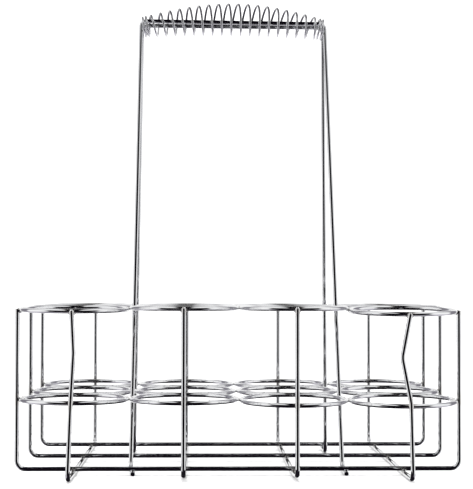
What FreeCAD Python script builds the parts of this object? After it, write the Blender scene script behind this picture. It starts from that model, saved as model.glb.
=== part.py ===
import FreeCAD, Part
import math
import os

import Sketcher
from FreeCAD import Placement, Rotation, Vector

# Welded wire caddy for twelve bottles, in millimetres.
# X runs along the caddy, Y across it and Z up; the origin is on the table, under the middle.

# Driving dimensions
SIZES = {
    # bottle grid and wire
    "bottle_pitch": 76.0,            # from one bottle's axis to the next
    "wire_diameter": 3.2,
    "weld_bite_depth": 0.2,          # how far each ring is pressed flat where it is welded
    "end_radius": 0.4,               # rounding of a cut wire end
    # heights above the table, to the middle of the wire
    "lower_ring_height": 53.0,
    "upper_ring_height": 116.0,
    "handle_height": 329.2,
    # long and cross frames
    "frame_bend_radius": 6.0,
    "corner_foot_height": 0.7,       # how far the front feet of the cross frames stand off the table,
    "inner_foot_height": 3.6,        # at the corners and between them
    "toe_bend_radius": 40.0,         # where a cross frame turns up to its front foot
    # front corners knocked in: their rings dip at the front, their uprights are bent inwards
    "left_upper_sag_depth": 1.8,
    "right_upper_sag_depth": 3.6,
    "right_lower_sag_depth": 2.3,
    "inner_lower_sag_depth": 1.7,    # of the lower ring beside the right corner
    "left_kink_depth": 2.7,
    "right_kink_depth": 5.75,
    "left_kink_height": 86.5,
    "right_kink_height": 83.5,
    "left_lean_offset": 1.3,         # how far a bent upright still stands in at its top,
    "right_lean_offset": 0.2,
    "left_ring_offset": 0.95,        # at the lower rings
    "right_ring_offset": -0.1,
    "left_foot_offset": -0.8,        # and at its foot
    "right_foot_offset": -1.3,
    "kink_bend_radius": 12.0,
    # bails of the handle
    "handle_offset": -2.9,           # the handle's top stands a little to the left
    "handle_top_width": 137.4,       # between the legs of a bail, at the top
    "front_foot_offset": 2.1,        # how far a bail's feet stand to the right of its rod
    "rear_foot_offset": -0.4,
    "front_rod_fall_height": 1.4,    # how much lower a rod's right end is
    "rear_rod_fall_height": 0.6,
    "leg_inset_width": 0.8,          # from the line between two columns in to a leg's foot
    "hook_reach_length": 24.0,       # from the long frame back to the foot of the leg
    "hook_overhang_length": 3.0,     # from the long frame on to the hook's cut end
    "hook_skew_offset": 1.4,         # sideways run of both hooks of a bail
    "front_toe_in_offset": 1.2,      # how far the two hooks of a bail turn towards each other
    "rear_toe_in_offset": -1.0,
    "hook_bend_radius": 7.0,
    "rod_spacing": 16.0,             # between the tops of the two bails
    "rod_bend_radius": 4.0,
    # spring grip
    "grip_wire_diameter": 1.6,
    "grip_turns": 21.75,             # in whole quarters
    "grip_close_turns": 2,           # close turns at each end
    "grip_close_pitch": 2.4,
    "grip_length": 136.6,
    "grip_side_gap": 2.4,            # between a rod and the side of a turn
    "grip_seat_gap": 0.2,            # between a rod and the top of an end turn
    "grip_crown_height": 1.3,        # rise of an end turn's top between the rods
    "grip_rise_height": 11.4,        # how much higher the middle turns stand
    "grip_drop_height": 7.8,         # from the rods down to the lower side of the middle turns
    "grip_end_drop_height": 2.2,     # how much lower the end turns hang
    "grip_fall_height": 1.2,         # how much lower the right end is
    "grip_swing_width": 0.9,         # how far the sides of a middle turn stand off from each other
    "grip_lean": 0.05,               # sideways lean of all turns, per millimetre of height
    "grip_fan": 0.17,                # and of the end turns, outwards
}

COLUMNS = 4
ROWS = ("front", "middle", "rear")
QUARTERS = 4                     # arcs of a turn are laid out by quarter turns
GAP_SAMPLES = 8                  # points on each arc where the grip's gap to itself is measured
TOUCH = 1e-6                     # points closer than this are the same

# Sizes that several pieces share
LONG_SPAN = f"Sizes.bottle_pitch * {COLUMNS} + Sizes.wire_diameter"
CROSS_SPAN = f"Sizes.bottle_pitch * {len(ROWS)} + Sizes.wire_diameter"
CROSS_LEVEL = "Sizes.wire_diameter / 2"
# where a cross frame turns up to its front foot, a wire's width in front of the front long frame
TOE_START = f"Sizes.bottle_pitch * {(len(ROWS) - 1) / 2} + Sizes.wire_diameter"
LONG_LEVEL = "Sizes.wire_diameter * 3 / 2"
FRAME_TOP = "Sizes.upper_ring_height + Sizes.end_radius"
EVEN_TOPS = (FRAME_TOP, FRAME_TOP)
WIRE_RADIUS = "Sizes.wire_diameter / 2"

doc = FreeCAD.newDocument("bottle_caddy")
sheet = doc.addObject("Spreadsheet::Sheet", "Sizes")
for line, (alias, number) in enumerate(SIZES.items(), start=1):
    sheet.set(f"A{line}", alias)
    sheet.set(f"B{line}", str(number))
    sheet.setAlias(f"B{line}", alias)
doc.recompute()

nodes = []


def size(alias):
    """One driving dimension, read from the sheet."""
    return float(sheet.get(alias))


def worked_out(expression):
    """The present value of an expression in the sheet's sizes."""
    return float(sheet.evalExpression(expression))


def bind(item, **expressions):
    """Ties properties to the sheet; a double underscore stands for a dot in the property's path."""
    for path, expression in expressions.items():
        item.setExpression(path.replace("__", "."), expression)


def add_node(item, name):
    """Names a finished piece and lists it for writing."""
    item.Label = name
    nodes.append(item)


def column_step(column):
    """Place of a column along X, in pitches from the middle."""
    return column - (COLUMNS - 1) / 2


def row_step(row):
    """Place of a row along Y, in pitches from the middle."""
    return row - (len(ROWS) - 1) / 2


def end_edges(shape, ends):
    """Numbers of the circular edges round a wire's cut ends."""
    return [
        number
        for number, edge in enumerate(shape.Edges, start=1)
        if any(edge.CenterOfMass.distanceToPoint(end) < TOUCH for end in ends)
    ]


# Rings: hoops of wire, pressed flat on the walls of the bottle's cell where they meet a neighbour

def make_cell():
    """The square cell of one bottle, centred on its ring."""
    cell = doc.addObject("Part::Box", "bottle_cell")
    half = "-Sizes.bottle_pitch / 2"
    bind(cell, Length="Sizes.bottle_pitch", Width="Sizes.bottle_pitch", Height="Sizes.bottle_pitch")
    bind(cell, Placement__Base__x=half, Placement__Base__y=half, Placement__Base__z=half)
    return cell


def make_hoop(name, sag=None):
    """A hoop that lies level or, with a sag, is tipped about its rear weld so that its front dips."""
    hoop = doc.addObject("Part::Torus", name)
    bind(hoop, Radius1=f"Sizes.bottle_pitch / 2 + Sizes.weld_bite_depth - {WIRE_RADIUS}")
    bind(hoop, Radius2=WIRE_RADIUS)
    if sag:
        tip = f"asin(Sizes.{sag} / Sizes.bottle_pitch)"
        hoop.Placement = Placement(Vector(), Rotation(Vector(1, 0, 0), 1))
        bind(hoop, Placement__Rotation__Angle=tip)
        bind(hoop, Placement__Base__y=f"Sizes.bottle_pitch / 2 * (1 - cos({tip}))")
        bind(hoop, Placement__Base__z=f"-Sizes.{sag} / 2")
    return hoop


def make_rings(layer, cell, sags):
    """One layer of rings; sags names the sag of each dipped ring, by row and column."""
    level_hoop = make_hoop(f"{layer}_hoop")
    for row, row_name in enumerate(ROWS):
        for column in range(COLUMNS):
            name = f"{layer}_ring_{row_name}_{column + 1}"
            sag = sags.get((row_name, column))
            ring = doc.addObject("Part::Common", name)
            ring.Base = make_hoop(f"{name}_hoop", sag) if sag else level_hoop
            ring.Tool = cell
            bind(ring, Placement__Base__x=f"Sizes.bottle_pitch * {column_step(column)}")
            bind(ring, Placement__Base__y=f"Sizes.bottle_pitch * {row_step(row)}")
            bind(ring, Placement__Base__z=f"Sizes.{layer}_ring_height")
            add_node(ring, name)


# Long frames: a round wire along a flat U, laid over the cross frames

def make_sketch(body, name, role):
    """An empty sketch on one of the body's own origin planes."""
    sketch = body.newObject("Sketcher::SketchObject", name)
    plane = next(item for item in body.Origin.OriginFeatures if item.Role == role)
    sketch.AttachmentSupport = (plane, [""])
    sketch.MapMode = "FlatFace"
    return sketch


def dimension(sketch, name, expression, kind, *places):
    """A named dimension between sketch places, tied to the sheet."""
    index = sketch.addConstraint(Sketcher.Constraint(kind, *places, worked_out(expression)))
    sketch.renameConstraint(index, name)
    sketch.setExpression(f"Constraints.{name}", expression)


def draw_u(sketch, span, level, tops):
    """Two uprights and a bar with rounded corners, in the middle of the sketch."""
    side = worked_out(span) / 2
    bar = worked_out(level)
    left_tip, right_tip = map(worked_out, tops)
    bend = size("frame_bend_radius")
    shoulder = bar + bend
    foot = side - bend
    half_turn = math.pi
    three_quarters = half_turn * 3 / 2
    normal = Vector(0, 0, 1)
    left_circle = Part.Circle(Vector(-foot, shoulder, 0), normal, bend)
    right_circle = Part.Circle(Vector(foot, shoulder, 0), normal, bend)
    sketch.addGeometry([
        Part.LineSegment(Vector(-side, left_tip, 0), Vector(-side, shoulder, 0)),
        Part.ArcOfCircle(left_circle, half_turn, three_quarters),
        Part.LineSegment(Vector(-foot, bar, 0), Vector(foot, bar, 0)),
        Part.ArcOfCircle(right_circle, three_quarters, half_turn * 2),
        Part.LineSegment(Vector(side, shoulder, 0), Vector(side, right_tip, 0)),
    ])
    left, left_bend, bottom, right_bend, right = range(5)
    start, end = 1, 2
    origin, upright_axis = -1, -2
    for first, second in ((left, left_bend), (left_bend, bottom), (bottom, right_bend), (right_bend, right)):
        sketch.addConstraint(Sketcher.Constraint("Tangent", first, end, second, start))
    sketch.addConstraint(Sketcher.Constraint("Vertical", left))
    sketch.addConstraint(Sketcher.Constraint("Vertical", right))
    sketch.addConstraint(Sketcher.Constraint("Equal", left_bend, right_bend))
    sketch.addConstraint(Sketcher.Constraint("Symmetric", bottom, start, bottom, end, upright_axis))
    dimension(sketch, "bend", "Sizes.frame_bend_radius", "Radius", left_bend)
    dimension(sketch, "span", span, "DistanceX", left, start, right, end)
    dimension(sketch, "level", level, "DistanceY", origin, start, bottom, start)
    dimension(sketch, "left_top", tops[0], "DistanceY", origin, start, left, start)
    dimension(sketch, "right_top", tops[1], "DistanceY", origin, start, right, end)


def draw_section(sketch, span, top):
    """The wire's circle, at the upper end of the U's left upright."""
    centre = Vector(-worked_out(span) / 2, 0, 0)
    radius = worked_out(WIRE_RADIUS)
    sketch.addGeometry(Part.Circle(centre, Vector(0, 0, 1), radius))
    circle, middle = 0, 3
    origin, start = -1, 1
    long_axis = -1
    sketch.addConstraint(Sketcher.Constraint("PointOnObject", circle, middle, long_axis))
    dimension(sketch, "radius", WIRE_RADIUS, "Radius", circle)
    dimension(sketch, "reach", f"({span}) / 2", "DistanceX", circle, middle, origin, start)
    bind(sketch, AttachmentOffset__Base__z=top)


def make_long_frame(name, row, tops):
    """A U frame under one row, with the heights of its two uprights."""
    body = doc.addObject("PartDesign::Body", name)
    path = make_sketch(body, f"{name}_path", "XZ_Plane")
    draw_u(path, LONG_SPAN, LONG_LEVEL, tops)
    section = make_sketch(body, f"{name}_section", "XY_Plane")
    draw_section(section, LONG_SPAN, tops[0])
    wire = body.newObject("PartDesign::AdditivePipe", f"{name}_wire")
    wire.Profile = section
    wire.Spine = (path, [""])
    doc.recompute()
    reach = worked_out(LONG_SPAN) / 2
    left_end = Vector(-reach, 0, worked_out(tops[0]))
    right_end = Vector(reach, 0, worked_out(tops[1]))
    ends = end_edges(wire.Shape, (left_end, right_end))
    rounding = body.newObject("PartDesign::Fillet", f"{name}_ends")
    rounding.Base = (wire, [f"Edge{number}" for number in ends])
    bind(rounding, Radius="Sizes.end_radius")
    bind(body, Placement__Base__y=f"Sizes.bottle_pitch * {row_step(row)}")
    add_node(body, name)


# Wires bent in more than one plane: straight runs with rounded corners

def bent_path(corners, bends):
    """A wire through the corners, each inner one rounded to its bend radius."""
    edges = []
    start = corners[0]
    for before, corner, after, bend in zip(corners, corners[1:], corners[2:], bends):
        arriving = (corner - before).normalize()
        leaving = (after - corner).normalize()
        half_angle = arriving.getAngle(leaving) / 2
        setback = bend * math.tan(half_angle)
        arc_start = corner - arriving * setback
        arc_end = corner + leaving * setback
        inwards = (leaving - arriving).normalize()
        arc_middle = corner + inwards * (bend / math.cos(half_angle) - bend)
        edges.append(Part.LineSegment(start, arc_start).toShape())
        edges.append(Part.Arc(arc_start, arc_middle, arc_end).toShape())
        start = arc_end
    edges.append(Part.LineSegment(start, corners[-1]).toShape())
    return Part.Wire(edges)


def make_bent_wire(name, corners, bends):
    """A round wire swept along a bent path, with rounded ends."""
    path = doc.addObject("Part::Feature", f"{name}_path")
    path.Shape = bent_path(corners, bends)
    section = doc.addObject("Part::Circle", f"{name}_section")
    section.Placement = Placement(corners[0], Rotation(Vector(0, 0, 1), corners[1] - corners[0]))
    bind(section, Radius=WIRE_RADIUS)
    wire = doc.addObject("Part::Sweep", f"{name}_wire")
    wire.Sections = [section]
    wire.Spine = (path, [f"Edge{number}" for number in range(1, len(path.Shape.Edges) + 1)])
    wire.Solid = True
    doc.recompute()
    rounding = size("end_radius")
    piece = doc.addObject("Part::Fillet", name)
    piece.Base = wire
    ends = end_edges(wire.Shape, (corners[0], corners[-1]))
    piece.Edges = [(number, rounding, rounding) for number in ends]
    add_node(piece, name)
    return piece


def make_cross_frame(column, upright):
    """A frame under one column: a front upright through the given corners, a bar and a rear upright."""
    reach = worked_out(CROSS_SPAN) / 2
    level = worked_out(CROSS_LEVEL)
    toe = worked_out(TOE_START)
    skew = upright[-1].x * (reach + toe) / (2 * reach)
    corners = upright + [
        Vector(skew, -toe, level),
        Vector(0, reach, level),
        Vector(0, reach, worked_out(FRAME_TOP)),
    ]
    foot_bend = size("frame_bend_radius")
    bends = [size("kink_bend_radius")] * (len(upright) - 2)
    bends += [foot_bend, size("toe_bend_radius"), foot_bend]
    frame = make_bent_wire(f"cross_frame_{column + 1}", corners, bends)
    bind(frame, Placement__Base__x=f"Sizes.bottle_pitch * {column_step(column)}")


def straight_upright():
    """Corners of a front upright between the corners of the caddy, from its top down to its foot."""
    reach = worked_out(CROSS_SPAN) / 2
    foot = worked_out(CROSS_LEVEL) + size("inner_foot_height")
    return [Vector(0, -reach, worked_out(FRAME_TOP)), Vector(0, -reach, foot)]


def bent_upright(side, inwards):
    """Corners of a front upright that is bent inwards between the two ring layers."""
    reach = worked_out(CROSS_SPAN) / 2
    dipped_top = worked_out(FRAME_TOP) - size(f"{side}_upper_sag_depth")
    foot = worked_out(CROSS_LEVEL) + size("corner_foot_height")
    return [
        Vector(inwards * size(f"{side}_lean_offset"), -reach, dipped_top),
        Vector(inwards * size(f"{side}_kink_depth"), -reach, size(f"{side}_kink_height")),
        Vector(inwards * size(f"{side}_ring_offset"), -reach, size("lower_ring_height")),
        Vector(inwards * size(f"{side}_foot_offset"), -reach, foot),
    ]


def make_bail(side, facing):
    """Half of the handle: two leaning legs under one rod, with feet hooked under a long frame."""
    rightwards = math.cos(math.radians(facing))
    bar = -row_step(0) * size("bottle_pitch")
    foot_x = (COLUMNS / 2 - 1) * size("bottle_pitch") - size("leg_inset_width")
    foot_y = size("hook_reach_length") - bar
    foot_z = worked_out(CROSS_LEVEL)
    foot_shift = rightwards * size(f"{side}_foot_offset")
    hook_x = foot_x - size(f"{side}_toe_in_offset")
    hook_y = -bar - size("hook_overhang_length")
    hook_shift = foot_shift + size("hook_skew_offset")
    rod_x = size("handle_top_width") / 2
    rod_y = -size("rod_spacing") / 2
    rod_z = size("handle_height")
    half_fall = rightwards * size(f"{side}_rod_fall_height") / 2
    corners = [
        Vector(hook_shift - hook_x, hook_y, foot_z),
        Vector(foot_shift - foot_x, foot_y, foot_z),
        Vector(-rod_x, rod_y, rod_z + half_fall),
        Vector(rod_x, rod_y, rod_z - half_fall),
        Vector(foot_shift + foot_x, foot_y, foot_z),
        Vector(hook_shift + hook_x, hook_y, foot_z),
    ]
    hook_bend = size("hook_bend_radius")
    rod_bend = size("rod_bend_radius")
    bail = make_bent_wire(f"handle_bail_{side}", corners, (hook_bend, rod_bend, rod_bend, hook_bend))
    bail.Placement = Placement(Vector(), Rotation(Vector(0, 0, 1), facing))
    bind(bail, Placement__Base__x="Sizes.handle_offset")


# Spring grip: one thin wire wound round both rods, right-handed from the left end to the right

def grip_station(turn):
    """Place of a turn along the grip, from its middle: close turns at the ends, open ones between."""
    turns = size("grip_turns")
    close_turns = size("grip_close_turns")
    close_pitch = size("grip_close_pitch")
    close_run = close_turns * close_pitch
    open_pitch = (size("grip_length") - 2 * close_run) / (turns - 2 * close_turns)
    run = close_pitch * min(turn, close_turns)
    run += open_pitch * min(max(turn - close_turns, 0), turns - 2 * close_turns)
    run += close_pitch * max(turn - turns + close_turns, 0)
    return run - size("grip_length") / 2


def grip_point(turn):
    """Middle of the grip's wire after some turns, counted from its left end at the rear."""
    station = grip_station(turn)
    share = station / (size("grip_length") / 2)
    wires = (size("wire_diameter") + size("grip_wire_diameter")) / 2
    end_top = wires + size("grip_seat_gap") + size("grip_crown_height")
    crest = math.cos(share * math.pi / 2)
    top = end_top + size("grip_rise_height") * crest
    bottom = -size("grip_drop_height") - size("grip_end_drop_height") * (1 - crest)
    half_width = size("rod_spacing") / 2 + wires + size("grip_side_gap")
    angle = 2 * math.pi * (turn - 1 / QUARTERS)
    height = (top + bottom) / 2 + (top - bottom) / 2 * math.cos(angle)
    lean = (size("grip_lean") + size("grip_fan") * share) * height
    swing = size("grip_swing_width") * crest * math.sin(angle)
    half_fall = size("grip_fall_height") / 2
    return Vector(station + lean + swing, -half_width * math.sin(angle), height - half_fall * share)


def grip_direction(turn):
    """Direction of the grip's wire, from two points close by."""
    step = 1e-4
    return (grip_point(turn + step) - grip_point(turn - step)).normalize()


def tangent_arc(start, apex, end):
    """An arc whose end tangents meet in the apex, as far from the start as from the end."""
    middle = (start + end) / 2
    cosine = math.cos((apex - start).getAngle(end - start))
    crest = middle + (apex - middle) * (cosine / (1 + cosine))
    return Part.Arc(start, crest, end).toShape()


def biarc(start, start_way, end, end_way):
    """Two arcs with a common tangent that leave the start and reach the end in the given ways."""
    chord = end - start
    along = chord.dot(start_way + end_way)
    spread = 2 * (1 - start_way.dot(end_way))
    reach = (math.sqrt(along ** 2 + spread * chord.dot(chord)) - along) / spread
    first_apex = start + start_way * reach
    second_apex = end - end_way * reach
    joint = (first_apex + second_apex) / 2
    return [tangent_arc(start, first_apex, joint), tangent_arc(joint, second_apex, end)]


def grip_arcs():
    """The grip's line as a pair of arcs to each quarter turn."""
    quarters = round(size("grip_turns") * QUARTERS)
    places = [quarter / QUARTERS for quarter in range(quarters + 1)]
    arcs = []
    for before, after in zip(places, places[1:]):
        arcs += biarc(grip_point(before), grip_direction(before), grip_point(after), grip_direction(after))
    return arcs


def least_gap(arcs, thickness):
    """Least gap between a wound wire and itself, over points that lie half a turn or more apart."""
    points = [point for arc in arcs for point in arc.discretize(GAP_SAMPLES)]
    half_turn = GAP_SAMPLES * QUARTERS
    nearest = min(
        points[one].distanceToPoint(other)
        for one in range(len(points))
        for other in points[one + half_turn:one + 4 * half_turn]
    )
    return nearest - thickness


def make_grip(name):
    """The wound wire, with a short straight end on either side."""
    thickness = size("grip_wire_diameter")
    arcs = grip_arcs()
    first, last = grip_point(0), grip_point(size("grip_turns"))
    first_way, last_way = grip_direction(0), grip_direction(size("grip_turns"))
    outset = first - first_way * thickness
    edges = [Part.LineSegment(outset, first).toShape()]
    edges += arcs
    edges.append(Part.LineSegment(last, last + last_way * thickness).toShape())
    spine = Part.Wire(edges)
    shell = Part.BRepOffsetAPI.MakePipeShell(spine)
    shell.add(Part.Wire(Part.makeCircle(thickness / 2, outset, first_way)))
    shell.build()
    shell.makeSolid()
    grip = doc.addObject("Part::Feature", name)
    grip.Shape = shell.shape()
    bind(grip, Placement__Base__x="Sizes.handle_offset", Placement__Base__z="Sizes.handle_height")
    add_node(grip, name)
    section = math.pi * (thickness / 2) ** 2
    tightest = min(arc.Curve.Radius for arc in arcs)
    print(f"{name}: least gap to itself {least_gap(arcs, thickness):.2f} mm")
    print(f"{name}: tightest arc {tightest:.2f} mm, volume {grip.Shape.Volume:.1f} mm3,")
    print(f"{name}: section times length {section * spine.Length:.1f} mm3")


def check_model():
    """Stops on a failed object or a piece that isn't one sound solid."""
    for item in doc.Objects:
        if "Invalid" in item.State or "Error" in item.State:
            raise RuntimeError(f"{item.Label} failed: {item.State}")
    for node in nodes:
        if node.Shape.isNull() or not node.Shape.isValid() or len(node.Shape.Solids) != 1:
            raise RuntimeError(f"{node.Label} isn't one valid solid")


last_column = COLUMNS - 1
bottle_cell = make_cell()
left_corner, right_corner = ("front", 0), ("front", last_column)
upper_sags = {left_corner: "left_upper_sag_depth", right_corner: "right_upper_sag_depth"}
make_rings("upper", bottle_cell, upper_sags)
right_inner = ("front", last_column - 1)
lower_sags = {right_corner: "right_lower_sag_depth", right_inner: "inner_lower_sag_depth"}
make_rings("lower", bottle_cell, lower_sags)
dipped_tops = [f"{FRAME_TOP} - Sizes.{sag} / 2" for sag in upper_sags.values()]
for row, row_name in enumerate(ROWS):
    tops = dipped_tops if row_name == "front" else EVEN_TOPS
    make_long_frame(f"long_frame_{row_name}", row, tops)
make_cross_frame(0, bent_upright("left", 1))
for column in range(1, last_column):
    make_cross_frame(column, straight_upright())
make_cross_frame(last_column, bent_upright("right", -1))
make_bail("front", 0)
make_bail("rear", 180)
make_grip("spring_grip")
doc.recompute()
check_model()
os.makedirs("parts", exist_ok=True)
for node in nodes:
    node.Shape.exportStep(f"parts/{node.Label}.step")
print(f"{len(nodes)} nodes written")
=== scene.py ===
import math

import bmesh
import bpy
from mathutils import Matrix, Vector


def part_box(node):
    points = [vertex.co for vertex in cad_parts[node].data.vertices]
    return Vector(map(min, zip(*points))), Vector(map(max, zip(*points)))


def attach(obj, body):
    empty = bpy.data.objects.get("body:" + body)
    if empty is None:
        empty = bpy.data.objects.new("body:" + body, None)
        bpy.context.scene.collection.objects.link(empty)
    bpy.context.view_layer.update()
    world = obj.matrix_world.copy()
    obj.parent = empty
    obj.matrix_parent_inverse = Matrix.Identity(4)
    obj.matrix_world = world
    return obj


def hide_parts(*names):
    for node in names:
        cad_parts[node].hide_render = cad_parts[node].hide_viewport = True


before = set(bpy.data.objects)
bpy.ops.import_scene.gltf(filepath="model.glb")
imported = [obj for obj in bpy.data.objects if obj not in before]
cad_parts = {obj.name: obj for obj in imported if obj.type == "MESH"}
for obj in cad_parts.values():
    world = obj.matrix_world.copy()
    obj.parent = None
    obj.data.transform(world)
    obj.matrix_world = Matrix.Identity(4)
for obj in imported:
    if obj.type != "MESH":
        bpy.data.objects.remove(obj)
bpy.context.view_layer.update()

# Looks of a welded chrome wire caddy for bottles, in metres, in the frame of the solids.

# The photograph's frame and camera
PHOTO_WIDTH = 473
PHOTO_HEIGHT = 489
FOCAL_PIXELS = 1372.9
SENSOR_MM = 36.0
CAMERA_PLACE = Vector((-0.0275, -1.0324, 0.1282))
CAMERA_YAW = math.radians(1.535)
CAMERA_PITCH = math.radians(1.921)
CAMERA_ROLL = math.radians(0.092)
CLIP_START = 0.01
CLIP_END = 50.0

# The bottle grid
ROWS = ("front", "middle", "rear")
COLUMNS = 4
LAYERS = ("upper", "lower")

# Welds
BEAD_HALF_LENGTH = 0.0046      # of the seam between two rings that lie side by side
BEAD_STATIONS = 14
BEAD_STEPS = 8
BEAD_END_FULLNESS = 0.02       # of a seam's cut end, as a share of its middle
BEAD_END_WIDTH = 0.25          # the next four are shares of the wire's radius or of the crest
BEAD_GAIN_WIDTH = 0.55
BEAD_CREST = 0.82
BEAD_WAIST = 0.74
SPOOL_HALF_HEIGHT = 0.0012     # how deep a weld between crossed wires goes into each wire
SPOOL_NECK = 0.0015
SPOOL_SPREAD = 0.0012
SPOOL_STATIONS = 9
SPOOL_SIDES = 24

# Spring grip, as wound in the solids
GRIP_MIDDLE = Vector((-0.0029, 0, 0.3292))
GRIP_WIRE = 0.0016
GRIP_TURNS = 21.75
GRIP_CLOSE_TURNS = 2
GRIP_CLOSE_PITCH = 0.0024
GRIP_LENGTH = 0.1366
ROD_HALF_SPACING = 0.008
GRIP_SIDE_GAP = 0.0024
GRIP_SEAT_GAP = 0.0002
GRIP_CROWN = 0.0013
GRIP_RISE = 0.0114
GRIP_DROP = 0.0078
GRIP_END_DROP = 0.0022
GRIP_FALL = 0.0012
GRIP_SWING = 0.0009
GRIP_LEAN = 0.05
GRIP_FAN = 0.17
GRIP_STEPS = 56                # stations in a turn
GRIP_SIDES = 16
GRIP_EASE = GRIP_WIRE / 6      # rounding of the wire's cut ends
QUARTER_TURN = 0.25

# Sizes read from the solids
ring_low, ring_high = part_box("upper_ring_middle_2")
PITCH = ring_high.x - ring_low.x
WIRE = ring_high.z - ring_low.z
UPPER_LEVEL = (ring_low.z + ring_high.z) / 2
lower_low, lower_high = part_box("lower_ring_middle_2")
LOWER_LEVEL = (lower_low.z + lower_high.z) / 2
FLATNESS = WIRE / 1000         # how far the corners of a pressed flat may lie off its wall

scene = bpy.context.scene


# Node trees

def add_node(tree, kind, **settings):
    """A node with its settings made."""
    node = tree.nodes.new(kind)
    for name, value in settings.items():
        setattr(node, name, value)
    return node


def feed(tree, socket, value):
    """Links a socket into another, or sets a plain value on it."""
    if isinstance(value, bpy.types.NodeSocket):
        tree.links.new(value, socket)
    else:
        socket.default_value = value


def calc(tree, operation, *values):
    """One arithmetic step on sockets and numbers."""
    node = add_node(tree, "ShaderNodeMath", operation=operation)
    for socket, value in zip(node.inputs, values):
        feed(tree, socket, value)
    return node.outputs[0]


def ramp(tree, value, start, end, low=0.0, high=1.0):
    """A smooth step of a value: low up to the start, high from the end on."""
    node = add_node(tree, "ShaderNodeMapRange", interpolation_type="SMOOTHSTEP")
    feed(tree, node.inputs["Value"], value)
    node.inputs["From Min"].default_value = start
    node.inputs["From Max"].default_value = end
    node.inputs["To Min"].default_value = low
    node.inputs["To Max"].default_value = high
    return node.outputs["Result"]


def noise(tree, place, scale, detail=2.0, roughness=0.5):
    """A noise between 0 and 1 at a place, with its scale in waves to the metre."""
    node = add_node(tree, "ShaderNodeTexNoise", noise_dimensions="3D")
    feed(tree, node.inputs["Vector"], place)
    node.inputs["Scale"].default_value = scale
    node.inputs["Detail"].default_value = detail
    node.inputs["Roughness"].default_value = roughness
    return node.outputs["Fac"]


def mix_colour(tree, share, first, second):
    """A blend of two colours."""
    node = add_node(tree, "ShaderNodeMix", data_type="RGBA")
    feed(tree, node.inputs[0], share)
    feed(tree, node.inputs[6], first)
    feed(tree, node.inputs[7], second)
    return node.outputs[2]


def bump(tree, height, depth, below=None):
    """A surface normal from a height between 0 and 1, as deep as given."""
    node = add_node(tree, "ShaderNodeBump")
    node.inputs["Strength"].default_value = 1.0
    node.inputs["Distance"].default_value = depth
    feed(tree, node.inputs["Height"], height)
    if below:
        tree.links.new(below, node.inputs["Normal"])
    return node.outputs["Normal"]


def new_material(name):
    """An empty node material with its output."""
    material = bpy.data.materials.new(name)
    material.use_nodes = True
    tree = material.node_tree
    tree.nodes.clear()
    shader = add_node(tree, "ShaderNodeBsdfPrincipled")
    output = add_node(tree, "ShaderNodeOutputMaterial")
    tree.links.new(shader.outputs[0], output.inputs["Surface"])
    return material, tree, shader


# Materials

BRIGHT_CHROME = (0.93, 0.935, 0.945, 1.0)
GREY_CHROME = (0.80, 0.81, 0.83, 1.0)
# Base colour of the painted dark reflection on the spring's upper side
PAINTED_REFLECTION_DARK = (0.20, 0.20, 0.22, 1.0)
WELD_STRAW = (0.62, 0.58, 0.53, 1.0)
PAPER_SHADE = (0.93, 0.93, 0.93, 1.0)
PAPER_WHITE = (0.96, 0.96, 0.96, 1.0)
FELT_DARK = (0.003, 0.002, 0.004, 1.0)
FELT_LIGHT = (0.012, 0.010, 0.014, 1.0)

# Noises: waves to the metre, detail and roughness
CLOUDS = (34.0, 3.0, 0.6)
GRAIN = (1900.0, 3.0, 0.65)
PITS = (5200.0, 2.0, 0.5)
WAVES = (260.0, 1.0)
LUMPS = (1300.0, 3.0, 0.6)
BURNS = (420.0, 2.0, 0.5)
TOOTH = (600.0, 4.0, 0.6)
MOTTLE = (90.0, 3.0, 0.6)

# Depths of the bumps, in metres
WAVE_DEPTH = 0.00002
PIT_DEPTH = 0.0000004
LUMP_DEPTH = 0.00012
TOOTH_DEPTH = 0.00004
MOTTLE_DEPTH = 0.0002

# Steps over a noise or a distance: start, end and, where given, the values there
CLOUD_TINT = (0.35, 0.75)
CLOUD_HAZE = (0.42, 0.78)
PIT_EDGE = (0.2, 0.4)
HEAT_REACH = (0.0062, 0.0022)
HEAT_GRAIN = (0.3, 0.6, 0.35, 1.0)
BURN_TINT = (0.45, 0.75)
BURN_ROUGHNESS = (0.3, 0.8, 0.05, 0.2)
PAINTED_REFLECTION_EDGE = (-0.002, 0.006)  # from clear to painted dark reflection, as heights above the rods
PAINTED_REFLECTION_DRIFT = 0.006           # how far the clouds carry that edge up and down

# Strengths
WIRE_HAZE = 0.03
HANDLE_HAZE = 0.025
SPRING_HAZE = 0.035
GRAIN_ROUGHNESS = 0.02
HEAT_TINT = 0.55
HEAT_ROUGHNESS = 0.16
PAPER_ROUGHNESS = 0.9
PAPER_SHEEN = 0.1


def weld_nearness(tree, place):
    """1 on the welds of the grid and 0 a few millimetres off, worked out from the grid itself."""
    parts = add_node(tree, "ShaderNodeSeparateXYZ")
    feed(tree, parts.inputs[0], place)
    half = 0.5
    across = calc(tree, "PINGPONG", calc(tree, "DIVIDE", parts.outputs["X"], PITCH), half)
    along = calc(tree, "PINGPONG", calc(tree, "DIVIDE", parts.outputs["Y"], PITCH), half)
    across_half = calc(tree, "SUBTRACT", half, across)
    along_half = calc(tree, "SUBTRACT", half, along)

    def reach(first, second):
        squares = calc(tree, "ADD", calc(tree, "POWER", first, 2.0), calc(tree, "POWER", second, 2.0))
        return calc(tree, "MULTIPLY", calc(tree, "SQRT", squares), PITCH)

    def off_level(level):
        return calc(tree, "ABSOLUTE", calc(tree, "SUBTRACT", parts.outputs["Z"], level))

    on_walls = calc(tree, "MINIMUM", reach(across, along), reach(across_half, along_half))
    on_ring_level = calc(tree, "MINIMUM", off_level(UPPER_LEVEL), off_level(LOWER_LEVEL))
    ring_weld = calc(tree, "MAXIMUM", on_walls, on_ring_level)
    base_weld = calc(tree, "MAXIMUM", reach(across_half, along), off_level(WIRE))
    distance = calc(tree, "MINIMUM", ring_weld, base_weld)
    return ramp(tree, distance, *HEAT_REACH)


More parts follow.
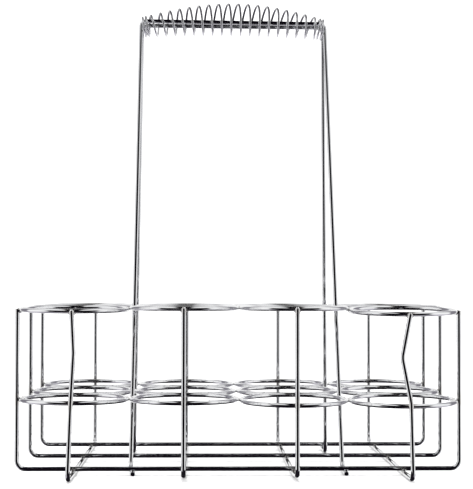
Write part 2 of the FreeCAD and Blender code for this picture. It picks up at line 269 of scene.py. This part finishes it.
def chrome(name, haze, welds=False, painted_dark_top=False):
    """Plating on drawn wire, cloudy and finely pitted; some with heat marks at welds or a painted dark
    reflection on the upper side.
    """
    material, tree, shader = new_material(name)
    place = add_node(tree, "ShaderNodeTexCoord").outputs["Object"]
    clouds = noise(tree, place, *CLOUDS)
    grain = noise(tree, place, *GRAIN)
    pits = noise(tree, place, *PITS)
    colour = mix_colour(tree, ramp(tree, clouds, *CLOUD_TINT), BRIGHT_CHROME, GREY_CHROME)
    dull = calc(tree, "MULTIPLY", ramp(tree, clouds, *CLOUD_HAZE), haze)
    rough = calc(tree, "ADD", calc(tree, "MULTIPLY", grain, GRAIN_ROUGHNESS), dull)
    if welds:
        heat = calc(tree, "MULTIPLY", weld_nearness(tree, place), ramp(tree, grain, *HEAT_GRAIN))
        colour = mix_colour(tree, calc(tree, "MULTIPLY", heat, HEAT_TINT), colour, WELD_STRAW)
        rough = calc(tree, "ADD", rough, calc(tree, "MULTIPLY", heat, HEAT_ROUGHNESS))
    if painted_dark_top:
        # Painted dark reflection: the base colour darkens from just below the rods upwards, standing in for
        # the dark surroundings that the spring's upper side mirrors.
        parts = add_node(tree, "ShaderNodeSeparateXYZ")
        feed(tree, parts.inputs[0], place)
        above_rods = calc(tree, "SUBTRACT", parts.outputs["Z"], GRIP_MIDDLE.z)
        drift = calc(tree, "MULTIPLY", calc(tree, "SUBTRACT", clouds, 0.5), PAINTED_REFLECTION_DRIFT)
        painted_dark_height = calc(tree, "ADD", above_rods, drift)
        colour = mix_colour(tree, ramp(tree, painted_dark_height, *PAINTED_REFLECTION_EDGE), colour, PAINTED_REFLECTION_DARK)
    feed(tree, shader.inputs["Base Color"], colour)
    feed(tree, shader.inputs["Roughness"], rough)
    shader.inputs["Metallic"].default_value = 1.0
    waves = bump(tree, noise(tree, place, *WAVES), WAVE_DEPTH)
    feed(tree, shader.inputs["Normal"], bump(tree, ramp(tree, pits, *PIT_EDGE), PIT_DEPTH, waves))
    return material


def weld_metal():
    """Plated weld: the same chrome over a lumpy, slightly burnt skin."""
    material, tree, shader = new_material("weld_metal")
    place = add_node(tree, "ShaderNodeTexCoord").outputs["Object"]
    lumps = noise(tree, place, *LUMPS)
    burns = noise(tree, place, *BURNS)
    colour = mix_colour(tree, ramp(tree, burns, *BURN_TINT), BRIGHT_CHROME, WELD_STRAW)
    feed(tree, shader.inputs["Base Color"], colour)
    feed(tree, shader.inputs["Roughness"], ramp(tree, burns, *BURN_ROUGHNESS))
    shader.inputs["Metallic"].default_value = 1.0
    feed(tree, shader.inputs["Normal"], bump(tree, lumps, LUMP_DEPTH))
    return material


def floor_paper():
    """White studio paper with a faint tooth."""
    material, tree, shader = new_material("studio_paper")
    place = add_node(tree, "ShaderNodeTexCoord").outputs["Object"]
    tooth = noise(tree, place, *TOOTH)
    feed(tree, shader.inputs["Base Color"], mix_colour(tree, tooth, PAPER_SHADE, PAPER_WHITE))
    shader.inputs["Roughness"].default_value = PAPER_ROUGHNESS
    shader.inputs["Specular IOR Level"].default_value = PAPER_SHEEN
    feed(tree, shader.inputs["Normal"], bump(tree, tooth, TOOTH_DEPTH))
    return material


def card_felt():
    """Dark felt, a little mottled."""
    material, tree, shader = new_material("card_felt")
    place = add_node(tree, "ShaderNodeTexCoord").outputs["Object"]
    mottle = noise(tree, place, *MOTTLE)
    feed(tree, shader.inputs["Base Color"], mix_colour(tree, mottle, FELT_DARK, FELT_LIGHT))
    shader.inputs["Roughness"].default_value = 1.0
    shader.inputs["Specular IOR Level"].default_value = 0.0
    feed(tree, shader.inputs["Normal"], bump(tree, mottle, MOTTLE_DEPTH))
    return material


# Meshes

def mesh_object(name, made, material):
    """A smooth-shaded object from a finished bmesh."""
    bmesh.ops.recalc_face_normals(made, faces=made.faces)
    mesh = bpy.data.meshes.new(name)
    made.to_mesh(mesh)
    made.free()
    for face in mesh.polygons:
        face.use_smooth = True
    mesh.materials.append(material)
    item = bpy.data.objects.new(name, mesh)
    scene.collection.objects.link(item)
    return item


def skin_rings(made, rings):
    """Closes a row of vertex rings into a tube with capped ends."""
    for before, after in zip(rings, rings[1:]):
        for side in range(len(before)):
            following = (side + 1) % len(before)
            made.faces.new((before[side], before[following], after[following], after[side]))
    made.faces.new(reversed(rings[0]))
    made.faces.new(rings[-1])


def circle_points(centre, across, up, radius, sides):
    """Points of a circle laid out by two unit directions."""
    turn = 2 * math.pi / sides
    return [
        centre + (across * math.cos(turn * side) + up * math.sin(turn * side)) * radius
        for side in range(sides)
    ]


# Spring grip

def grip_station(turn):
    """Place of a turn along the grip, from its middle: close turns at the ends, open ones between."""
    close_run = GRIP_CLOSE_TURNS * GRIP_CLOSE_PITCH
    open_turns = GRIP_TURNS - 2 * GRIP_CLOSE_TURNS
    open_pitch = (GRIP_LENGTH - 2 * close_run) / open_turns
    run = GRIP_CLOSE_PITCH * min(turn, GRIP_CLOSE_TURNS)
    run += open_pitch * min(max(turn - GRIP_CLOSE_TURNS, 0), open_turns)
    run += GRIP_CLOSE_PITCH * max(turn - GRIP_TURNS + GRIP_CLOSE_TURNS, 0)
    return run - GRIP_LENGTH / 2


def grip_point(turn):
    """Middle of the grip's wire after some turns, counted from its left end at the rear."""
    station = grip_station(turn)
    share = station / (GRIP_LENGTH / 2)
    crest = math.cos(share * math.pi / 2)
    wires = (WIRE + GRIP_WIRE) / 2
    top = wires + GRIP_SEAT_GAP + GRIP_CROWN + GRIP_RISE * crest
    bottom = -GRIP_DROP - GRIP_END_DROP * (1 - crest)
    half_width = ROD_HALF_SPACING + wires + GRIP_SIDE_GAP
    angle = 2 * math.pi * (turn - QUARTER_TURN)
    height = (top + bottom) / 2 + (top - bottom) / 2 * math.cos(angle)
    along = station + (GRIP_LEAN + GRIP_FAN * share) * height + GRIP_SWING * crest * math.sin(angle)
    return GRIP_MIDDLE + Vector((along, -half_width * math.sin(angle), height - GRIP_FALL / 2 * share))


def make_grip(material):
    """The wound wire as one smooth tube with eased, cut ends."""
    stations = round(GRIP_TURNS * GRIP_STEPS)
    points = [grip_point(step / GRIP_STEPS) for step in range(stations + 1)]
    first_way = (points[1] - points[0]).normalized()
    last_way = (points[-1] - points[-2]).normalized()
    radius = GRIP_WIRE / 2
    eased_run = GRIP_WIRE - GRIP_EASE
    points = [points[0] - first_way * GRIP_WIRE, points[0] - first_way * eased_run] + points
    points += [points[-1] + last_way * eased_run, points[-1] + last_way * GRIP_WIRE]
    made = bmesh.new()
    rings = []
    across = first_way.orthogonal().normalized()
    for number, point in enumerate(points):
        before = points[max(number - 1, 0)]
        after = points[min(number + 1, len(points) - 1)]
        way = (after - before).normalized()
        across = (across - way * across.dot(way)).normalized()
        at_end = number in (0, len(points) - 1)
        loop = circle_points(point, across, way.cross(across), radius - GRIP_EASE * at_end, GRIP_SIDES)
        rings.append([made.verts.new(corner) for corner in loop])
    skin_rings(made, rings)
    return mesh_object("grip_spring", made, material)


# Welds

def flat_middle(node, axis, side):
    """Middle of the flat that a ring has on one wall of its cell."""
    corners = [vertex.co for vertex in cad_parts[node].data.vertices]
    wall = max(corner[axis] * side for corner in corners)
    flat = [corner for corner in corners if corner[axis] * side > wall - FLATNESS]
    low = Vector([min(corner[way] for corner in flat) for way in range(3)])
    high = Vector([max(corner[way] for corner in flat) for way in range(3)])
    return (low + high) / 2


def add_seam_bead(made, place, along, across):
    """Weld metal in the groove between two wires that lie side by side, above and below the contact."""
    up = along.cross(across)
    radius = WIRE / 2
    rings = []
    for station in range(BEAD_STATIONS + 1):
        share = 2 * station / BEAD_STATIONS - 1
        fullness = math.sqrt(max(1 - share ** 2, BEAD_END_FULLNESS ** 2))
        half_width = radius * (BEAD_END_WIDTH + BEAD_GAIN_WIDTH * fullness)
        crest = radius * BEAD_CREST * fullness
        waist = crest * BEAD_WAIST
        top = []
        for step in range(BEAD_STEPS + 1):
            offset = 2 * step / BEAD_STEPS - 1
            height = waist + (crest - waist) * offset ** 2
            top.append((offset * half_width, height))
        outline = top + [(width, -height) for width, height in reversed(top)]
        centre = place + along * (share * BEAD_HALF_LENGTH)
        rings.append([made.verts.new(centre + across * width + up * height) for width, height in outline])
    skin_rings(made, rings)


def add_spool_bead(made, place, axis, first_along, second_along):
    """Weld metal between two crossed wires: a waist that flares along either wire."""
    rings = []
    for station in range(SPOOL_STATIONS):
        share = 2 * station / (SPOOL_STATIONS - 1) - 1
        first_reach = SPOOL_NECK + SPOOL_SPREAD * max(-share, 0) ** 2
        second_reach = SPOOL_NECK + SPOOL_SPREAD * max(share, 0) ** 2
        centre = place + axis * (share * SPOOL_HALF_HEIGHT)
        turn = 2 * math.pi / SPOOL_SIDES
        rings.append([
            made.verts.new(
                centre
                + first_along * (first_reach * math.cos(turn * side))
                + second_along * (second_reach * math.sin(turn * side))
            )
            for side in range(SPOOL_SIDES)
        ])
    skin_rings(made, rings)


X_AXIS = Vector((1, 0, 0))
Y_AXIS = Vector((0, 1, 0))
Z_AXIS = Vector((0, 0, 1))


def ring_name(layer, row, column):
    """Name of the ring's node in a layer, by row and column from 0."""
    return f"{layer}_ring_{ROWS[row]}_{column + 1}"


def make_ring_welds(layer, material):
    """Seams between the neighbouring rings of one layer."""
    made = bmesh.new()
    for row in range(len(ROWS)):
        for column in range(COLUMNS):
            ring = ring_name(layer, row, column)
            if column + 1 < COLUMNS:
                place = (flat_middle(ring, 0, 1) + flat_middle(ring_name(layer, row, column + 1), 0, -1)) / 2
                add_seam_bead(made, place, Y_AXIS, X_AXIS)
            if row + 1 < len(ROWS):
                place = (flat_middle(ring, 1, 1) + flat_middle(ring_name(layer, row + 1, column), 1, -1)) / 2
                add_seam_bead(made, place, X_AXIS, Y_AXIS)
    return mesh_object(f"{layer}_ring_welds", made, material)


def stand_at_upright(place, node, side):
    """Moves a weld along X to where a bent upright passes it, if the wire has a bend or an end there."""
    near = [
        vertex.co.x
        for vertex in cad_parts[node].data.vertices
        if vertex.co.y * side > 0 and abs(vertex.co.z - place.z) < WIRE
    ]
    if near:
        place.x = (min(near) + max(near)) / 2
    return place


def make_upright_welds(layer, material):
    """Welds between the outer rings of one layer and the uprights, which end at the upper rings."""
    made = bmesh.new()
    sink = Vector((0, 0, SPOOL_SPREAD if layer == "upper" else 0))
    last_column = COLUMNS - 1
    last_row = len(ROWS) - 1
    for row in range(len(ROWS)):
        for column, side in ((0, -1), (last_column, 1)):
            place = flat_middle(ring_name(layer, row, column), 0, side)
            add_spool_bead(made, place - sink, X_AXIS * side, Y_AXIS, Z_AXIS)
    for column in range(COLUMNS):
        for row, side in ((0, -1), (last_row, 1)):
            place = flat_middle(ring_name(layer, row, column), 1, side)
            place = stand_at_upright(place, f"cross_frame_{column + 1}", side)
            add_spool_bead(made, place - sink, Y_AXIS * side, X_AXIS, Z_AXIS)
    return mesh_object(f"{layer}_upright_welds", made, material)


def bar_end(node, side):
    """Middle of one end of a cross frame's bar, which the mesh has corners at."""
    corners = [vertex.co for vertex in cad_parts[node].data.vertices]
    low = [corner for corner in corners if corner.z < WIRE and corner.y * side > 0]
    across = [corner.x for corner in low]
    along = [corner.y for corner in low]
    return Vector(((min(across) + max(across)) / 2, (min(along) + max(along)) / 2, WIRE))


def make_base_welds(material):
    """Welds where the long frames cross over the cross frames."""
    made = bmesh.new()
    for column in range(COLUMNS):
        front, rear = (bar_end(f"cross_frame_{column + 1}", side) for side in (-1, 1))
        for row in range(len(ROWS)):
            along = (row - (len(ROWS) - 1) / 2) * PITCH
            share = (along - front.y) / (rear.y - front.y)
            add_spool_bead(made, front.lerp(rear, share), Z_AXIS, Y_AXIS, X_AXIS)
    return mesh_object("base_welds", made, material)


def hook_places(bail, long_frame):
    """Where the two hooks of a bail pass under its long frame."""
    low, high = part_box(long_frame)
    line = (low.y + high.y) / 2
    under = [
        vertex.co.x
        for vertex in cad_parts[bail].data.vertices
        if vertex.co.z < WIRE and abs(vertex.co.y - line) < WIRE * 2
    ]
    places = []
    for side in (-1, 1):
        own = [across for across in under if across * side > 0]
        places.append(Vector(((min(own) + max(own)) / 2, line, WIRE)))
    return places


def make_hook_welds(material):
    """Welds between the hooks of the handle and the long frames above them."""
    made = bmesh.new()
    for row in ("front", "rear"):
        for place in hook_places(f"handle_bail_{row}", f"long_frame_{row}"):
            add_spool_bead(made, place, Z_AXIS, Y_AXIS, X_AXIS)
    return mesh_object("hook_welds", made, material)


# Studio

FLOOR_RADIUS = 6.0
CARD_RADIUS = 0.20             # of the dark card under the caddy that only the chrome mirrors
CARD_DEPTH = 0.06
DISC_RINGS = 12
DISC_SIDES = 64
ROOM_LIGHT = 1.55              # of the white room, as the camera and the floor see it
LAMP_PLACE = Vector((-0.5, -0.2, 2.2))
LAMP_TARGET = Vector((0, 0, 0.1))
LAMP_WIDTH = 1.6
LAMP_POWER = 18.0

# What the chrome mirrors of the room: white, with a dark arch from the floor in front up past the zenith,
# wide at eye level, and a grey band on either side behind. Rises and bearings are in degrees.
WHITE = (0.95, 0.95, 0.95, 1.0)
ARCH_DARK = (0.004, 0.003, 0.0055, 1.0)
BAND_DARK = (0.23, 0.22, 0.25, 1.0)
FLOOR_GREY = (0.62, 0.60, 0.66, 1.0)
ARCH_LEVEL_EDGE = (0.72, 0.86)  # sideways part of the direction, at eye level,
ARCH_HIGH_EDGE = (0.16, 0.30)   # high up
ARCH_LOW_EDGE = (0.50, 0.70)    # and towards the floor
ARCH_STEEP_RISE = (15.0, 50.0)
ARCH_FOOT = (-66.0, -54.0)
ARCH_LEVEL_BACK = (0.25, 0.40)  # rearward part of the direction, at eye level
ARCH_HIGH_BACK = (0.70, 0.85)   # and high up
BAND_START = (106.0, 116.0)
BAND_END = (140.0, 152.0)
BAND_RISE = (45.0, 60.0)
FLOOR_EDGE = (-34.0, -16.0)


def make_disc(name, radius, level, material):
    """A round sheet, finer towards the middle."""
    made = bmesh.new()
    loops = []
    for number in range(1, DISC_RINGS + 1):
        loop_radius = radius * (number / DISC_RINGS) ** 2
        loop = circle_points(Vector((0, 0, level)), X_AXIS, Y_AXIS, loop_radius, DISC_SIDES)
        loops.append([made.verts.new(corner) for corner in loop])
    made.faces.new(loops[0])
    for inner, outer in zip(loops, loops[1:]):
        for side in range(DISC_SIDES):
            following = (side + 1) % DISC_SIDES
            made.faces.new((inner[side], outer[side], outer[following], inner[following]))
    disc = mesh_object(name, made, material)
    return disc


def make_floor():
    """White paper that the chrome doesn't mirror, over a dark card that only the chrome does."""
    floor = make_disc("studio_floor", FLOOR_RADIUS, 0.0, floor_paper())
    floor.visible_glossy = False
    card = make_disc("dark_card", CARD_RADIUS, -CARD_DEPTH, card_felt())
    card.visible_camera = False
    card.visible_diffuse = False
    card.visible_shadow = False


def make_world():
    """White room with dark parts that show only in the chrome."""
    world = bpy.data.worlds.new("studio")
    scene.world = world
    world.use_nodes = True
    tree = world.node_tree
    tree.nodes.clear()
    way = add_node(tree, "ShaderNodeSeparateXYZ")
    feed(tree, way.inputs[0], add_node(tree, "ShaderNodeTexCoord").outputs["Generated"])
    sideways = calc(tree, "ABSOLUTE", way.outputs["X"])
    rearward = way.outputs["Y"]
    rise = calc(tree, "DEGREES", calc(tree, "ARCSINE", way.outputs["Z"]))
    steepness = calc(tree, "ABSOLUTE", rise)
    bearing = calc(tree, "DEGREES", calc(tree, "ARCTAN2", sideways, calc(tree, "MULTIPLY", rearward, -1.0)))
    band = calc(tree, "MULTIPLY", ramp(tree, bearing, *BAND_START), ramp(tree, bearing, *reversed(BAND_END)))
    band = calc(tree, "MULTIPLY", band, ramp(tree, steepness, *reversed(BAND_RISE)))
    high = ramp(tree, rise, *ARCH_STEEP_RISE)
    low = ramp(tree, calc(tree, "MULTIPLY", rise, -1.0), *ARCH_STEEP_RISE)
    level = calc(tree, "SUBTRACT", calc(tree, "SUBTRACT", 1.0, high), low)
    wide = calc(tree, "MULTIPLY", level, ramp(tree, sideways, *reversed(ARCH_LEVEL_EDGE)))
    middling = calc(tree, "MULTIPLY", low, ramp(tree, sideways, *reversed(ARCH_LOW_EDGE)))
    ahead = calc(tree, "ADD", wide, middling)
    ahead = calc(tree, "MULTIPLY", ahead, ramp(tree, rearward, *reversed(ARCH_LEVEL_BACK)))
    narrow = calc(tree, "MULTIPLY", high, ramp(tree, sideways, *reversed(ARCH_HIGH_EDGE)))
    overhead = calc(tree, "MULTIPLY", narrow, ramp(tree, rearward, *reversed(ARCH_HIGH_BACK)))
    arch = calc(tree, "MULTIPLY", calc(tree, "ADD", ahead, overhead), ramp(tree, rise, *ARCH_FOOT))
    colour = mix_colour(tree, band, WHITE, BAND_DARK)
    colour = mix_colour(tree, ramp(tree, rise, *reversed(FLOOR_EDGE)), colour, FLOOR_GREY)
    colour = mix_colour(tree, arch, colour, ARCH_DARK)
    rays = add_node(tree, "ShaderNodeLightPath")
    room = (ROOM_LIGHT, ROOM_LIGHT, ROOM_LIGHT, 1.0)
    seen = mix_colour(tree, rays.outputs["Is Glossy Ray"], room, colour)
    background = add_node(tree, "ShaderNodeBackground")
    feed(tree, background.inputs["Color"], seen)
    output = add_node(tree, "ShaderNodeOutputWorld")
    tree.links.new(background.outputs[0], output.inputs["Surface"])


def make_lamp(name, place, target, width, power):
    """A square soft lamp aimed at a target."""
    lamp = bpy.data.lights.new(name, "AREA")
    lamp.shape = "SQUARE"
    lamp.size = width
    lamp.energy = power
    item = bpy.data.objects.new(name, lamp)
    item.location = place
    item.rotation_euler = (target - place).to_track_quat("-Z", "Y").to_euler()
    item.visible_glossy = False
    scene.collection.objects.link(item)


def make_camera():
    """The photograph's camera."""
    lens = bpy.data.cameras.new("photo_camera")
    lens.sensor_fit = "VERTICAL"
    lens.sensor_height = SENSOR_MM
    lens.sensor_width = SENSOR_MM * PHOTO_WIDTH / PHOTO_HEIGHT
    lens.lens = FOCAL_PIXELS * SENSOR_MM / PHOTO_HEIGHT
    lens.clip_start = CLIP_START
    lens.clip_end = CLIP_END
    forward = Vector((
        math.sin(CAMERA_YAW) * math.cos(CAMERA_PITCH),
        math.cos(CAMERA_YAW) * math.cos(CAMERA_PITCH),
        math.sin(CAMERA_PITCH),
    ))
    level = Vector((math.cos(CAMERA_YAW), -math.sin(CAMERA_YAW), 0))
    up = level.cross(forward)
    right = level * math.cos(CAMERA_ROLL) + up * math.sin(CAMERA_ROLL)
    top = right.cross(forward)
    camera = bpy.data.objects.new("photo_camera", lens)
    turned = Matrix((right, top, -forward)).transposed().to_4x4()
    camera.matrix_world = Matrix.Translation(CAMERA_PLACE) @ turned
    scene.collection.objects.link(camera)
    scene.camera = camera


# Dressing the caddy

wire_chrome = chrome("wire_chrome", WIRE_HAZE, welds=True)
handle_chrome = chrome("handle_chrome", HANDLE_HAZE)
# The spring gets a painted dark reflection on its upper side.
spring_chrome = chrome("spring_chrome", SPRING_HAZE, painted_dark_top=True)
weld_chrome = weld_metal()
for name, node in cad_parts.items():
    node.data.materials.clear()
    node.data.materials.append(handle_chrome if name.startswith("handle") else wire_chrome)

grip = make_grip(spring_chrome)
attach(grip, "root")
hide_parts("spring_grip")

for layer in LAYERS:
    for welds in (make_ring_welds(layer, weld_chrome), make_upright_welds(layer, weld_chrome)):
        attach(welds, "root")
base_welds = make_base_welds(weld_chrome)
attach(base_welds, "root")
hook_welds = make_hook_welds(weld_chrome)
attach(hook_welds, "root")

make_floor()
make_world()
make_lamp("overhead_softbox", LAMP_PLACE, LAMP_TARGET, LAMP_WIDTH, LAMP_POWER)
make_camera()
scene.view_settings.view_transform = "Standard"
